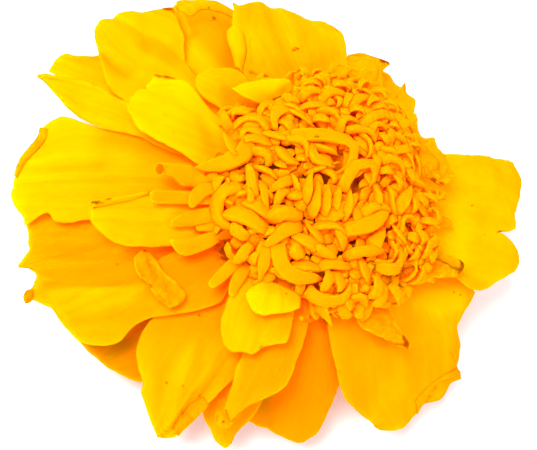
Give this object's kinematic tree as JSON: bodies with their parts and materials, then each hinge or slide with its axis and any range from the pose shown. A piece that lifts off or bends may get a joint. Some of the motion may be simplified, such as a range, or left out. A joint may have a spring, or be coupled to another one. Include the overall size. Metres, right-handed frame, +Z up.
{
  "type": "african marigold flower",
  "caption": "Picked head of an african marigold: broad drooping ray petals round a crested dome of curled florets, on a green involucre and a short cut stem.",
  "frame": {"origin": "middle of the head's foot print, on the surface that it rests on", "axes": "+Z up along the flower's axis; +X along its widest spread of petals"},
  "size_m": [0.0684, 0.0568, 0.0257],
  "materials": {
    "stem": "fresh green stem, matte",
    "involucre": "grown-together green bracts, satin",
    "ray_petal": "soft matte petal, golden yellow",
    "inner_petal": "soft matte petal, bright yellow",
    "wilted_petal": "withered petal, dull orange with brown tips",
    "disc_floret": "soft waxy floret, orange yellow"
  },
  "bodies": {
    "root": {"stem": "stem", "involucre": "involucre", "ray_petal_01": "ray_petal", "ray_petal_02": "ray_petal", "ray_petal_03": "ray_petal", "ray_petal_04": "ray_petal", "ray_petal_05": "ray_petal", "ray_petal_06": "ray_petal", "ray_petal_07": "ray_petal", "ray_petal_08": "ray_petal", "ray_petal_09": "ray_petal", "ray_petal_10": "ray_petal", "ray_petal_11": "ray_petal", "ray_petal_12": "ray_petal", "ray_petal_13": "ray_petal", "ray_petal_14": "ray_petal", "ray_petal_15": "ray_petal", "ray_petal_16": "ray_petal", "ray_petal_17": "ray_petal", "inner_petal_01": "inner_petal", "inner_petal_02": "inner_petal", "inner_petal_03": "inner_petal", "inner_petal_04": "inner_petal", "folded_petal": "inner_petal", "strap_petal": "inner_petal", "wilted_petal_01": "wilted_petal", "wilted_petal_02": "wilted_petal", "wilted_petal_03": "wilted_petal", "wilted_petal_04": "wilted_petal", "disc_florets": "disc_floret"}
  },
  "joints": []
}
